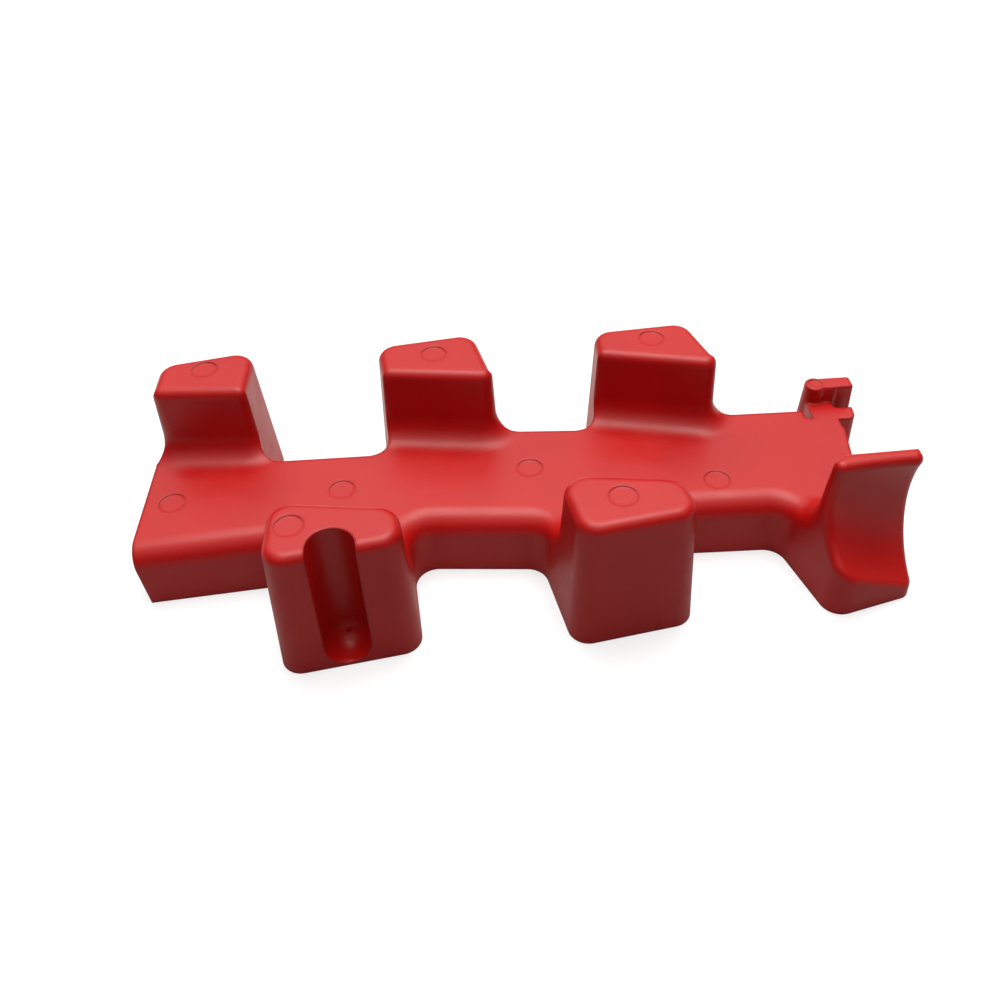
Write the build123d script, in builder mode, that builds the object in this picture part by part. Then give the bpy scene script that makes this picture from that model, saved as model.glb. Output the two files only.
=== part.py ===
"""Channel block: one moulded plastic block with a long open channel between two staggered rows of posts.

Units are millimetres.  +Z is up, X runs along the channel and Y across it, towards the back row of posts.
The floor of the channel is the deck.  Posts stand along both edges of the deck and reach down to the ground.
Outlines are drawn on the ground and every wall leans in by the draft angle as it rises.

The body is the overlap of two simple solids.  One has the block's outline at full height.  The other is a wide
plate with the channel's walls standing on it, so the rounded root of every wall belongs to the channel.
"""
import os
from math import cos, radians, sin, tan

from build123d import *

# Overall sizes
deck_length = 165.7         # left end to right end of the deck, on the ground
row_gap = 36.0              # across the channel, from one row of posts to the other, on the ground
deck_height = 15.0          # ground to the channel floor
post_height = 33.3          # ground to the tops of the posts
horn_height = 19.3          # ground to the top of the small horn

# Draft and rounding
draft = 2.5                 # degrees
end_lean = 4.5              # degrees that the left end of the deck leans out
post_corner = 4.6           # upright outer corners of the posts
wall_corner = 4.0           # upright corners of the posts beside the channel
gap_corner = 5.0            # inside corners, where a gap meets the side of a post
foot_corner = 3.0           # upright corner at the right end of the blade
post_edge = 2.2             # edges of the post tops
lip_edge = 5.2              # front edges of the deck and the corners that rise from them
lip_reach = 11.5            # how far back from the front row those corners lie
root_cove = 6.0             # hollow corner between a post and the channel floor

# Half-round pocket down the front of the left front post, open at its top
pocket_width = 9.8
pocket_side = 15.0          # from the left side of that post to the pocket's centre line, on the ground
pocket_depth = 8.0          # from the front of the post to the pocket's back wall
pocket_floor = 0.8          # ground to the lowest point of the pocket

# Scooped front of the blade, a slanted cylinder
scoop_radius = 18.1
scoop_tilt = 24.7           # degrees, down towards the right end
scoop_yaw = 11.9            # degrees, back towards the right end
blade_edge = 1.7            # edges of the scoop and of the blade's top

# Horn, nub and the slot between them, at the right end of the back edge
horn_depth = 5.9            # across the boss and its arm
boss_diameter = 6.8
slot_width = 3.1
horn_corner = 1.6           # upright corners of the arm
nub_corner = 2.4            # upright corners of the nub
horn_edge = 0.6             # top edges of the boss and its arm
boss_inset = 0.6            # how far the foot under the boss stands back from the boss's left side

# Shallow round marks
mark_diameter = 6.0
small_mark_diameter = 3.4
mark_depth = 0.2

# How far the channel's walls run on past the sides of the posts
wall_overrun = 5.0          # at a post whose corner is rounded together with the lip
flush_overrun = 0.45        # at a post whose corner is part of the channel's wall
past = 8.0                  # plain overlap of pieces inside one another
end_spare = 3.0             # left end of the deck before its end face is cut

# Places along and across the block
left_end = -84.3
right_end = left_end + deck_length
front_row = -25.5
back_row = front_row + row_gap
middle = front_row + 0.55 * row_gap


def station(share):
    """X of a place along the deck, as a share of its length from the left end."""
    return left_end + share * deck_length


def corners(x, y, *offsets):
    """Corner points around a place."""
    return [(x + dx, y + dy) for dx, dy in offsets]


def between(start, end, share):
    """Point on a line, which may lie past either end."""
    return (start[0] + share * (end[0] - start[0]), start[1] + share * (end[1] - start[1]))


def crossing(first, second):
    """Point where two lines in plan meet."""
    (ax, ay), (bx, by) = first
    (cx, cy), (dx, dy) = second
    turn = (bx - ax) * (dy - cy) - (by - ay) * (dx - cx)
    return between(first[0], first[1], ((cx - ax) * (dy - cy) - (cy - ay) * (dx - cx)) / turn)


# Posts on the ground: left and right corners beside the channel, then the right and left outer corners
back_left = corners(left_end, back_row, (0.0, 0.2), (24.6, -1.6), (24.9, 19.2), (0.0, 14.4))
back_middle = corners(station(0.407), back_row, (-13.7, 2.9), (15.6, -1.2), (10.4, 21.0), (-16.0, 17.3))
back_right = corners(station(0.726), back_row, (-15.2, 6.0), (16.9, -1.7), (10.4, 20.6), (-15.2, 18.5))
front_left = corners(station(0.283), front_row, (-15.2, 0.5), (14.1, -3.8), (15.3, -16.3), (-15.2, -21.0))
front_right = corners(station(0.642), front_row, (-16.1, 3.5), (13.0, -0.7), (16.0, -13.5), (-11.8, -18.1))
blade = corners(right_end, front_row, (-19.5, 3.7), (5.5, 4.6), (5.5, -10.0), (-14.0, -15.0))
front_posts = [front_left, front_right, blade]
back_posts = [back_left, back_middle, back_right]

# Edges of the deck on the ground, one line for each gap, in the order that keeps the deck on their left
left_lip = [(left_end, front_row + 2.5), (front_left[0][0], front_row + 5.3)]
middle_lip = [(front_left[1][0] - 1.1, front_row + 7.8), (front_right[0][0] - 0.3, front_row + 5.1)]
right_lip = [(front_right[1][0] - 2.0, front_row + 7.3), (blade[0][0] - 0.7, front_row + 6.7)]
right_rim = [(right_end - boss_diameter, back_row + 3.8), (back_right[1][0] - 1.8, back_row + 4.1)]
middle_rim = [(back_right[0][0], back_row + 1.2), (back_middle[1][0] - 1.1, back_row + 2.8)]
left_rim = [(back_middle[0][0], back_row - 3.4), (back_left[1][0], back_row - 3.4)]
gap_lines = [left_lip, middle_lip, right_lip, right_rim, middle_rim, left_rim]

# The right end of the deck widens towards the blade and towards the nub
flare = (blade[1][0], front_row + 6.5)
waist = (right_end - 1.0, front_row + 14.5)
nub_root = (right_end + 1.6, back_row - 4.5)


def drafted(points, height, corner=0.0, top_edge=0.0):
    """Convex solid on the ground with the draft of a moulding and, if asked, rounded corners and a rounded top."""
    with BuildPart() as solid:
        with BuildSketch(Plane.XY):
            with BuildLine():
                if corner:
                    FilletPolyline(points, radius=corner, close=True)
                else:
                    Polyline(points, close=True)
            make_face()
        extrude(amount=height, taper=draft)
        if top_edge:
            fillet(solid.faces().sort_by(Axis.Z)[-1].edges(), radius=top_edge)
    return solid.part


def drafted_small(points, height, corner):
    """The same for a piece too small for a tapered extrusion: a loft between its two outlines."""
    with BuildPart() as solid:
        with BuildSketch(Plane.XY) as ground:
            with BuildLine():
                FilletPolyline(points, radius=corner, close=True)
            make_face()
        with BuildSketch(Plane.XY.offset(height)):
            add(ground.sketch)
            offset(amount=-height * tan(radians(draft)), kind=Kind.INTERSECTION, mode=Mode.REPLACE)
        loft(ruled=True)
    return solid.part


def gap_slab(line):
    """Outline of the stretch of deck behind one gap, which runs on into the posts at its ends."""
    start, end = line
    reach = past / abs(end[0] - start[0])
    inner = middle + (past if end[0] > start[0] else -past)
    start_reach = reach
    if line == left_lip:
        start_reach = end_spare / abs(end[0] - start[0])
    elif line == right_rim:
        start_reach = 0.0
    outer_start = between(start, end, -start_reach)
    outer_end = between(start, end, 1 + reach)
    return [outer_start, outer_end, (outer_end[0], inner), (outer_start[0], inner)]


def post_foot(post):
    """Outline of a post, with its two sides carried on past the middle of the channel."""
    inner = middle + (past if post in front_posts else -past)
    row = [(0.0, inner), (1.0, inner)]
    left = crossing((post[0], post[3]), row)
    right = crossing((post[1], post[2]), row)
    if post in front_posts:
        return [post[3], post[2], right, left]
    return [left, right, post[2], post[3]]


def wall_block(post, left_overrun, right_overrun):
    """Outline that stands for a post in the channel: its inner wall is true, the rest is moved out."""
    left = between(post[0], post[1], -left_overrun / (post[1][0] - post[0][0]))
    right = between(post[1], post[0], -right_overrun / (post[1][0] - post[0][0]))
    outer_right = (right[0] + 1.5 * (post[2][0] - post[1][0]), right[1] + 1.5 * (post[2][1] - post[1][1]))
    outer_left = (left[0] + 1.5 * (post[3][0] - post[0][0]), left[1] + 1.5 * (post[3][1] - post[0][1]))
    if post in front_posts:
        return [outer_left, outer_right, right, left]
    return [left, right, outer_right, outer_left]


def upright_at(part, points):
    """Upright edges of a part that stand on the given points of the ground."""
    found = []
    for edge in part.edges():
        foot, head = sorted((edge @ 0, edge @ 1), key=lambda end: end.Z)
        if head.Z - foot.Z > post_height / 2 and any((foot - Vector(*point)).length < 0.4 for point in points):
            found.append(edge)
    return found


# Outline of the whole block at the height of the posts
right_end_slab = [
    (right_end - 2.5 * past, waist[1] - past),
    between(waist, nub_root, -0.2),
    nub_root,
    (nub_root[0] - 1.5, back_row),
    (right_end - 2.5 * past, right_rim[0][1] - 1.0),
]
blade_left = crossing((blade[0], blade[3]), [waist, (left_end, waist[1])])
blade_slab = [blade[3], blade[2], flare, waist, blade_left]
boss_left = right_end - boss_diameter
boss_slab = corners(boss_left, back_row, (boss_inset, -past), (past, -past), (past, 9.1), (boss_inset, 9.1))
end_slab = [
    (left_end - end_spare, middle),
    (left_end + past, middle),
    (left_end + past, back_row + 4.0),
    (left_end + 1.2, back_row + 4.0),
    (left_end - end_spare, back_row - 5.0),
]
gap_ends = [
    crossing(left_lip, front_left[0::3]),
    crossing(middle_lip, front_left[1:3]),
    crossing(middle_lip, front_right[0::3]),
    crossing(right_lip, front_right[1:3]),
    crossing(right_lip, blade[0::3]),
    crossing(right_rim, [(boss_left + boss_inset, 0.0), (boss_left + boss_inset, 1.0)]),
    crossing(right_rim, back_right[1:3]),
    crossing(middle_rim, back_right[0::3]),
    crossing(middle_rim, back_middle[1:3]),
    crossing(left_rim, back_middle[0::3]),
    crossing(left_rim, back_left[1:3]),
]
outer_corners = [point for post in front_posts + back_posts for point in post[2:] if point != blade[2]]
with BuildPart() as block:
    for outline in [gap_slab(line) for line in gap_lines]:
        add(drafted(outline, post_height))
    for outline in [post_foot(post) for post in front_posts[:2] + back_posts]:
        add(drafted(outline, post_height))
    for outline in (end_slab, right_end_slab, blade_slab, boss_slab):
        add(drafted(outline, post_height))
    with BuildSketch(Plane.XZ):
        with BuildLine():
            Polyline(
                (left_end, 0.0),
                (left_end - post_height * tan(radians(end_lean)), post_height),
                (left_end - 3 * past, post_height),
                (left_end - 3 * past, 0.0),
                close=True,
            )
        make_face()
    extrude(amount=3 * row_gap, both=True, mode=Mode.SUBTRACT)
    fillet(upright_at(block, gap_ends), radius=gap_corner)
    fillet(upright_at(block, outer_corners), radius=post_corner)
    fillet(upright_at(block, blade[2:3]), radius=foot_corner)
    block_top = block.faces().sort_by(Axis.Z)[-1]
    fillet([edge for edge in block_top.edges() if (edge @ 0.5).Y > back_row - past], radius=post_edge)

# Channel: a plate larger than the block, with the walls of the posts rising from coves
back_walls = [
    wall_block(back_left, flush_overrun, flush_overrun),
    wall_block(back_middle, flush_overrun, flush_overrun),
    wall_block(back_right, flush_overrun, flush_overrun),
]
front_walls = [
    wall_block(front_left, wall_overrun, wall_overrun),
    wall_block(front_right, wall_overrun, wall_overrun),
    wall_block(blade, wall_overrun, wall_overrun),
]
with BuildPart() as channel:
    with BuildSketch(Plane.XY):
        Rectangle(2 * deck_length, 6 * row_gap)
    extrude(amount=deck_height)
    for outline in back_walls:
        add(drafted(outline, post_height, wall_corner, post_edge))
    for outline in front_walls:
        add(drafted(outline, post_height, wall_corner))
    level = channel.edges().filter_by_position(Axis.Z, deck_height - 0.01, deck_height + 0.01)
    fillet([edge for edge in level if abs((edge @ 0.5).X) < 0.9 * deck_length], radius=root_cove)

# Cutter for the scoop
scoop_direction = Vector(
    cos(radians(scoop_tilt)) * cos(radians(scoop_yaw)),
    cos(radians(scoop_tilt)) * sin(radians(scoop_yaw)),
    -sin(radians(scoop_tilt)),
)
scoop_centre = Vector(right_end - 6.4, front_row - 19.1, post_height - 5.4)
scoop_plane = Plane(origin=scoop_centre - deck_length / 4 * scoop_direction, z_dir=scoop_direction)
with BuildPart() as scoop_cutter:
    with BuildSketch(scoop_plane):
        Circle(scoop_radius)
    extrude(amount=deck_length / 2)
scoop = scoop_cutter.part

# Cutter for the pocket: a ball-ended groove that opens to the front
pocket_x = front_left[3][0] + pocket_side
front_face_y = crossing(front_left[2:], [(pocket_x, 0.0), (pocket_x, 1.0)])[1]
pocket_y = front_face_y + pocket_depth - pocket_width / 2
with BuildPart() as pocket_cutter:
    with BuildSketch(Plane.XZ.offset(-pocket_y)):
        with BuildLine():
            Polyline(
                (pocket_x - pocket_width / 2, pocket_floor + pocket_width / 2),
                (pocket_x - pocket_width / 2, post_height + past),
                (pocket_x + pocket_width / 2, post_height + past),
                (pocket_x + pocket_width / 2, pocket_floor + pocket_width / 2),
            )
            ThreePointArc(
                (pocket_x - pocket_width / 2, pocket_floor + pocket_width / 2),
                (pocket_x, pocket_floor),
                (pocket_x + pocket_width / 2, pocket_floor + pocket_width / 2),
            )
        make_face()
    extrude(amount=pocket_depth + past)
    with BuildSketch(Plane.XY.offset(pocket_floor + pocket_width / 2)):
        with Locations((pocket_x, pocket_y)):
            Circle(pocket_width / 2)
    extrude(amount=post_height)
    with Locations((pocket_x, pocket_y, pocket_floor + pocket_width / 2)):
        Sphere(pocket_width / 2, rotation=(-45, 0, -90))

# Horn with its arm, and the nub in front of it, on the ground
horn_left = boss_left
horn_back = back_row + 12.0
horn_front = horn_back - horn_depth
arm = corners(horn_left + 2.0, horn_back - 0.3, (0.0, -horn_depth), (11.5, -horn_depth), (11.5, 0.0), (0.0, 0.0))
boss_centre = (horn_left + boss_diameter / 2, horn_front + 2.5)
slot_y = horn_front - slot_width / 2 + 0.7
nub = corners(horn_left, slot_y, (2.5, -6.6), (12.3, -6.6), (12.9, 1.5), (2.5, 1.5))
with BuildPart() as horn:
    add(drafted_small(arm, horn_height, horn_corner))
    with BuildSketch(Plane.XY):
        with Locations(boss_centre):
            Circle(boss_diameter / 2)
    extrude(amount=horn_height, taper=draft)
    fillet(horn.faces().sort_by(Axis.Z)[-1].edges(), radius=horn_edge)
with BuildPart() as slot_cutter:
    with BuildSketch(Plane.XY):
        with Locations((right_end + 2.1, slot_y)):
            Circle(slot_width / 2)
            Rectangle(2 * past, slot_width, align=(Align.MIN, Align.CENTER))
    extrude(amount=horn_height)

# Shallow round marks: on the tops of the posts, on the deck and on the boss
top_marks = [
    (left_end + 12.4, back_row + 9.9),
    (station(0.407) - 0.3, back_row + 11.0),
    (station(0.726) + 0.0, back_row + 12.4),
    (station(0.283) - 8.7, front_row - 9.2),
    (station(0.642) - 1.2, front_row - 6.6),
]
deck_marks = [
    (left_end + 5.2, middle - 0.3),
    (station(0.283) - 2.7, middle + 0.8),
    (station(0.53) + 0.6, middle + 4.4),
    (station(0.79) + 0.6, middle - 3.7),
]
boss_mark = boss_centre
mark_places = [(place, post_height, mark_diameter) for place in top_marks]
mark_places += [(place, deck_height, mark_diameter) for place in deck_marks]
mark_places += [(boss_mark, horn_height, small_mark_diameter)]

# Where the two solids cross
with BuildPart() as body:
    add(block.part)
    add(channel.part, mode=Mode.INTERSECT)
    crossings = new_edges(block.part, channel.part, combined=body.part)

    # The lips and the corners that rise from them
    front = [edge for edge in crossings if (edge @ 0.5).Y < front_row + lip_reach and (edge @ 0.5).X < right_end]
    fillet(front, radius=lip_edge)

    # Tops of the two front posts
    tops = body.faces().filter_by_position(Axis.Z, post_height - 0.01, post_height + 0.01).filter_by_position(
        Axis.Y, -2 * row_gap, front_row
    )
    fillet([edge for face in tops if face.center().X < blade[0][0] for edge in face.edges()], radius=post_edge)

    # Scooped front of the blade, then its edges and its top
    add(scoop, mode=Mode.SUBTRACT)
    scooped = body.faces().filter_by(GeomType.CYLINDER).sort_by(lambda face: abs(face.radius - scoop_radius))[0]
    top = body.faces().filter_by_position(Axis.Z, post_height - 0.01, post_height + 0.01).sort_by(Axis.X)[-1]
    fillet({*scooped.edges(), *top.edges()}, radius=blade_edge)

    # Horn and nub, then the slot between them
    add(horn.part)
    add(drafted_small(nub, deck_height, nub_corner))
    add(slot_cutter.part, mode=Mode.SUBTRACT)

    # Pocket and marks
    add(pocket_cutter.part, mode=Mode.SUBTRACT)
    for place, height, diameter in mark_places:
        with BuildSketch(Plane.XY.offset(height - mark_depth)):
            with Locations(place):
                Circle(diameter / 2)
        extrude(amount=2 * mark_depth, mode=Mode.SUBTRACT)

# The finished block, with its origin at the centre of its footprint
centre = body.part.bounding_box().center()
with BuildPart() as channel_block:
    add(body.part.moved(Location((-centre.X, -centre.Y, 0))))
channel_block.part.label = "channel_block"

os.makedirs("parts", exist_ok=True)
export_step(channel_block.part, "parts/channel_block.step")
print("size", channel_block.part.bounding_box().size, "moved by", -centre.X, -centre.Y)
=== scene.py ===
"""Channel block: one red moulded block with a long channel between two staggered rows of posts.

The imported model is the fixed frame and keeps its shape.  This script gives it its moulded finish, adds the
scar that the mould's gate leaves, and sets it on a pale table under soft studio light.
"""
from math import cos, pi, sin

import bmesh
import bpy
from mathutils import Matrix, Vector


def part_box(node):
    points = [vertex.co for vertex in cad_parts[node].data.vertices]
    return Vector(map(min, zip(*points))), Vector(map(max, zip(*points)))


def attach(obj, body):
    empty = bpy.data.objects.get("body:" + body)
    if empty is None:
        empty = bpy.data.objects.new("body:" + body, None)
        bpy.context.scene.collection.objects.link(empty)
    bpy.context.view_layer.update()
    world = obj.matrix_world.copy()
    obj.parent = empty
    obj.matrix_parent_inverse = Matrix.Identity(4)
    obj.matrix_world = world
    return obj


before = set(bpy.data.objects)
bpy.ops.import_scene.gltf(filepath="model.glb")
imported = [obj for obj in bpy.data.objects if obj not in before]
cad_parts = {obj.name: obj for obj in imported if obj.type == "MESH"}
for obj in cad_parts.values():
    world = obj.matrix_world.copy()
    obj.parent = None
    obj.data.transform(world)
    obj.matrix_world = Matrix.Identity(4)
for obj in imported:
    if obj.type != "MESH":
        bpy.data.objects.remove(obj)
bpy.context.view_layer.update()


# ---- The block itself ----
# One solid moulding in red plastic.  The mould is finely blasted, so the skin is satin: tiny dimples, some
# unevenness in the colour and the gloss, and edges that are softened rather than sharp.
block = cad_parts["channel_block"]
red = (0.46, 0.004, 0.003, 1.0)
deep_red = (0.41, 0.003, 0.003, 1.0)
refraction = 1.49
sheen_level = 0.4
gloss_range = (0.34, 0.42)       # roughness, from the shinier patches to the duller ones
mottle_scale = 45.0              # patches of colour, a centimetre or two across
gloss_scale = 160.0
dimple_scale = 2600.0
dimple_depth = 0.00004
soft_edge = 0.0011               # how far the softening reaches from an edge


def moulded_plastic(name):
    """Satin red plastic: mottled colour, uneven gloss and a fine dimpled skin, from Object coordinates."""
    finish = bpy.data.materials.new(name)
    finish.use_nodes = True
    nodes, links = finish.node_tree.nodes, finish.node_tree.links
    skin = nodes["Principled BSDF"]
    skin.inputs["IOR"].default_value = refraction
    skin.inputs["Specular IOR Level"].default_value = sheen_level
    place = nodes.new("ShaderNodeTexCoord")

    def noise(scale, detail):
        texture = nodes.new("ShaderNodeTexNoise")
        texture.inputs["Scale"].default_value = scale
        texture.inputs["Detail"].default_value = detail
        links.new(place.outputs["Object"], texture.inputs["Vector"])
        return texture.outputs["Fac"]

    def spread(value, low_end, high_end):
        ramp = nodes.new("ShaderNodeMapRange")
        ramp.inputs["From Min"].default_value = 0.3
        ramp.inputs["From Max"].default_value = 0.7
        ramp.inputs["To Min"].default_value = low_end
        ramp.inputs["To Max"].default_value = high_end
        links.new(value, ramp.inputs["Value"])
        return ramp.outputs["Result"]

    mottled = nodes.new("ShaderNodeMix")
    mottled.data_type = "RGBA"
    mottled.inputs["A"].default_value = red
    mottled.inputs["B"].default_value = deep_red
    links.new(spread(noise(mottle_scale, 3.0), 0.0, 1.0), mottled.inputs["Factor"])
    links.new(mottled.outputs["Result"], skin.inputs["Base Color"])
    links.new(spread(noise(gloss_scale, 4.0), *gloss_range), skin.inputs["Roughness"])

    rounded = nodes.new("ShaderNodeBevel")
    rounded.samples = 6
    rounded.inputs["Radius"].default_value = soft_edge
    dimples = nodes.new("ShaderNodeBump")
    dimples.inputs["Strength"].default_value = 0.25
    dimples.inputs["Distance"].default_value = dimple_depth
    links.new(noise(dimple_scale, 2.0), dimples.inputs["Height"])
    links.new(rounded.outputs["Normal"], dimples.inputs["Normal"])
    links.new(dimples.outputs["Normal"], skin.inputs["Normal"])
    return finish


plastic = moulded_plastic("satin_red_plastic")
for fitting in block.material_slots:
    fitting.material = plastic


# ---- Gate scar ----
# Where the plastic entered the mould: a low round stub broken off at the bottom of the pocket, a bit rough.
# It is the same plastic as the block and stands square to the wall of the pocket's ball end.
low = Vector(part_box("channel_block")[0])
ball_centre = low + Vector((0.0479, 0.00465, 0.0057))
ball_radius = 0.0049
to_wall = Vector((-0.12, 0.84, -0.53)).normalized()
scar_radius = 0.0006
scar_height = 0.0002
scar_sides = 32
scar_rings = 6
square_to_wall = (-to_wall).to_track_quat("Z", "Y").to_matrix().to_4x4()
stand = Matrix.Translation(ball_centre + ball_radius * to_wall) @ square_to_wall
dome = bmesh.new()
rings = []
for ring in range(scar_rings + 1):
    share = ring / scar_rings
    radius = scar_radius * cos(share * pi / 2) ** 0.6
    circle = []
    for side in range(scar_sides):
        angle = 2 * pi * side / scar_sides
        rough = radius * (1.0 + 0.06 * sin(3 * angle + 1.0) + 0.03 * sin(7 * angle))
        lift = scar_height * share * (1.0 + 0.2 * sin(2 * angle))
        circle.append(dome.verts.new(stand @ Vector((rough * cos(angle), rough * sin(angle), lift))))
    rings.append(circle)
for lower, upper in zip(rings, rings[1:]):
    for side in range(scar_sides):
        beside = (side + 1) % scar_sides
        dome.faces.new((lower[side], lower[beside], upper[beside], upper[side]))
dome.faces.new(rings[-1])
dome.faces.new(list(reversed(rings[0])))
bmesh.ops.remove_doubles(dome, verts=dome.verts, dist=1e-7)
bmesh.ops.recalc_face_normals(dome, faces=dome.faces)
scar_mesh = bpy.data.meshes.new("gate_scar")
dome.to_mesh(scar_mesh)
dome.free()
for face in scar_mesh.polygons:
    face.use_smooth = True
scar_mesh.materials.append(plastic)
scar = bpy.data.objects.new("gate_scar", scar_mesh)
bpy.context.scene.collection.objects.link(scar)
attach(scar, "root")


# ---- Table ----
# A plain white table top, matt and much larger than the block.  It looks white, but throws less light up at
# the
# block than it seems to: its colour in bounced light is painted light, darker in front and lighter behind
# the block.
table_reach = 3.0
table_gap = 0.0001
front_painted_light = 0.34
back_painted_light = 0.72
table_mesh = bpy.data.meshes.new("table_top")
sheet = bmesh.new()
bmesh.ops.create_grid(sheet, x_segments=1, y_segments=1, size=table_reach)
sheet.to_mesh(table_mesh)
sheet.free()
table = bpy.data.objects.new("table_top", table_mesh)
bpy.context.scene.collection.objects.link(table)
table.location.z = low.z - table_gap

paper = bpy.data.materials.new("white_paper")
paper.use_nodes = True
paper_nodes, paper_links = paper.node_tree.nodes, paper.node_tree.links
thrown = paper_nodes["Principled BSDF"]
thrown.inputs["Roughness"].default_value = 0.9
thrown.inputs["Specular IOR Level"].default_value = 0.1
where = paper_nodes.new("ShaderNodeTexCoord")
across = paper_nodes.new("ShaderNodeSeparateXYZ")
# Painted light: the bounce colour runs from darker at the front to lighter at the back, standing for how the
# light falls.
painted_light_gradient = paper_nodes.new("ShaderNodeMapRange")
painted_light_gradient.inputs["From Min"].default_value = -0.04
painted_light_gradient.inputs["From Max"].default_value = 0.06
painted_light_gradient.inputs["To Min"].default_value = front_painted_light
painted_light_gradient.inputs["To Max"].default_value = back_painted_light
paper_links.new(where.outputs["Object"], across.inputs["Vector"])
paper_links.new(across.outputs["Y"], painted_light_gradient.inputs["Value"])
paper_links.new(painted_light_gradient.outputs["Result"], thrown.inputs["Base Color"])

shaded = paper_nodes.new("ShaderNodeBsdfDiffuse")
shaded.inputs["Color"].default_value = (0.40, 0.41, 0.43, 1.0)
glow = paper_nodes.new("ShaderNodeEmission")
glow.inputs["Strength"].default_value = 0.62
seen = paper_nodes.new("ShaderNodeAddShader")
paper_links.new(shaded.outputs["BSDF"], seen.inputs[0])
paper_links.new(glow.outputs["Emission"], seen.inputs[1])
looked_at = paper_nodes.new("ShaderNodeLightPath")
either = paper_nodes.new("ShaderNodeMixShader")
paper_links.new(looked_at.outputs["Is Camera Ray"], either.inputs["Fac"])
paper_links.new(thrown.outputs["BSDF"], either.inputs[1])
paper_links.new(seen.outputs["Shader"], either.inputs[2])
paper_links.new(either.outputs["Shader"], paper_nodes["Material Output"].inputs["Surface"])
table_mesh.materials.append(paper)


# ---- Light ----
# A white room: a bright backdrop behind the block, light overhead and little from the front and the horizon.
# One warm soft box hangs above.  The walls look white wherever they are seen directly.
warm_white = (1.0, 0.97, 0.92)
room = bpy.data.worlds.new("studio")
bpy.context.scene.world = room
room.use_nodes = True
room_nodes, room_links = room.node_tree.nodes, room.node_tree.links
sky = room_nodes["Background"]
sky.inputs["Color"].default_value = (*warm_white, 1.0)
direction = room_nodes.new("ShaderNodeTexCoord")
split = room_nodes.new("ShaderNodeSeparateXYZ")
room_links.new(direction.outputs["Generated"], split.inputs["Vector"])


def band(axis, start, end, low_end, high_end):
    """Strength of the light that comes from one side of the room."""
    part = room_nodes.new("ShaderNodeMapRange")
    part.interpolation_type = "SMOOTHSTEP"
    part.inputs["From Min"].default_value = start
    part.inputs["From Max"].default_value = end
    part.inputs["To Min"].default_value = low_end
    part.inputs["To Max"].default_value = high_end
    room_links.new(split.outputs[axis], part.inputs["Value"])
    return part.outputs["Result"]


backdrop = room_nodes.new("ShaderNodeMath")
backdrop.operation = "MULTIPLY"
room_links.new(band("Y", 0.25, 0.70, 0.0, 1.0), backdrop.inputs[0])
room_links.new(band("Z", 0.25, 0.50, 0.0, 1.15), backdrop.inputs[1])
whole = room_nodes.new("ShaderNodeMath")
room_links.new(backdrop.outputs["Value"], whole.inputs[0])
room_links.new(band("Z", 0.40, 0.95, 0.03, 0.95), whole.inputs[1])
room_links.new(whole.outputs["Value"], sky.inputs["Strength"])
wall = room_nodes.new("ShaderNodeBackground")
wall.inputs["Color"].default_value = (1.0, 1.0, 1.0, 1.0)
in_view = room_nodes.new("ShaderNodeLightPath")
sight = room_nodes.new("ShaderNodeMixShader")
room_links.new(in_view.outputs["Is Camera Ray"], sight.inputs["Fac"])
room_links.new(sky.outputs["Background"], sight.inputs[1])
room_links.new(wall.outputs["Background"], sight.inputs[2])
room_links.new(sight.outputs["Shader"], room_nodes["World Output"].inputs["Surface"])

lamp = bpy.data.lights.new("overhead_box", "AREA")
lamp.shape = "SQUARE"
lamp.size = 0.8
lamp.energy = 12.0
lamp.color = warm_white
soft_box = bpy.data.objects.new("overhead_box", lamp)
bpy.context.scene.collection.objects.link(soft_box)
soft_box.location = (0.05, 0.22, 1.1)
soft_box.rotation_euler = (-soft_box.location).to_track_quat("-Z", "Y").to_euler()


# ---- Camera ----
# A hand-held camera in front of the channel, a little rolled, looking down at the block.  Its frame is set
# slightly off the lens's axis.
eye = Vector((-0.00883, -0.16495, 0.16735))
ahead = Vector((0.0321, 0.7348, -0.6776)).normalized()
sideways = Vector((0.9976, -0.0651, -0.0234)).normalized()
upwards = sideways.cross(ahead)
lens = bpy.data.cameras.new("camera")
lens.sensor_width = 36.0
lens.lens = 34.77
lens.shift_x = -0.0128
lens.shift_y = -0.0148
lens.clip_start = 0.005
camera = bpy.data.objects.new("camera", lens)
bpy.context.scene.collection.objects.link(camera)
turn = Matrix((sideways, upwards, -ahead)).transposed().to_4x4()
camera.matrix_world = Matrix.Translation(eye) @ turn
bpy.context.scene.camera = camera
bpy.context.scene.view_settings.view_transform = "Standard"
bpy.context.scene.view_settings.look = "None"
